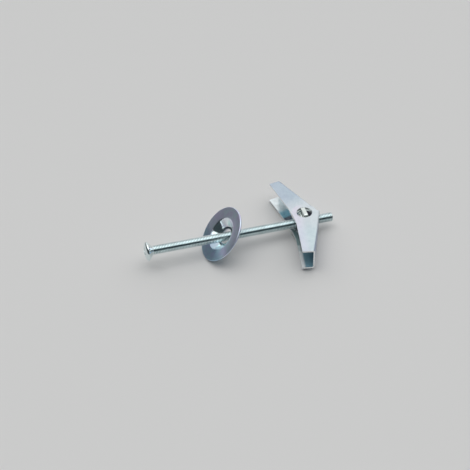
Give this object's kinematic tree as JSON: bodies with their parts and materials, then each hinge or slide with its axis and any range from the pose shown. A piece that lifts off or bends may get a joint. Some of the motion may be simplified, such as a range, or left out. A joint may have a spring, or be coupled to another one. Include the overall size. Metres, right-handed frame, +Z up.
{
  "type": "toggle bolt",
  "caption": "Spring toggle bolt: countersunk screw with a leaning dished washer and a sprung toggle of folded channel wings.",
  "frame": {"origin": "middle of the bolt's length and width, on the ground it lies on", "axes": "+X along the screw from head to thread end, seen from above; +Y towards wing a; +Z up. The screw dips 2.47 degrees towards its end, because the bolt rests on the washer's rim and the toggle's back corner."},
  "size_m": [0.1012, 0.0608, 0.0222],
  "materials": {
    "screw": "bright zinc plating with a cool tint",
    "washer": "zinc plating over faint turning marks",
    "nut": "zinc plating over a sheared blank",
    "spring": "drawn spring wire, plated",
    "wing_a": "bright zinc plating on rolled sheet",
    "wing_b": "bright zinc plating on rolled sheet"
  },
  "bodies": {
    "screw": {"screw": "screw"},
    "washer": {"washer": "washer"},
    "toggle": {"nut": "nut", "spring": "spring"},
    "wing_a": {"wing_a": "wing_a"},
    "wing_b": {"wing_b": "wing_b"}
  },
  "joints": [
    {"name": "toggle_travel", "type": "slide", "parent": "screw", "child": "toggle", "axis": [0.9991, 0, -0.0431], "range_m": [-0.003, 0.0125]},
    {"name": "washer_slide", "type": "slide", "parent": "screw", "child": "washer", "axis": [0.9991, 0, -0.0431], "range_m": [-0.032, 0.0015]},
    {"name": "wing_a_fold", "type": "hinge", "parent": "toggle", "child": "wing_a", "pos_m": [0.03527, 0, 0.0068], "axis": [0.0431, 0, 0.9991], "range_deg": [0, 71], "stiffness_Nm_per_rad": 0.02, "springref_deg": -28.65, "deforming": ["spring"]},
    {"name": "wing_b_fold", "type": "hinge", "parent": "toggle", "child": "wing_b", "pos_m": [0.03527, 0, 0.0068], "axis": [-0.0431, 0, -0.9991], "range_deg": [0, 71], "stiffness_Nm_per_rad": 0.02, "springref_deg": -28.65, "deforming": ["spring"]}
  ]
}
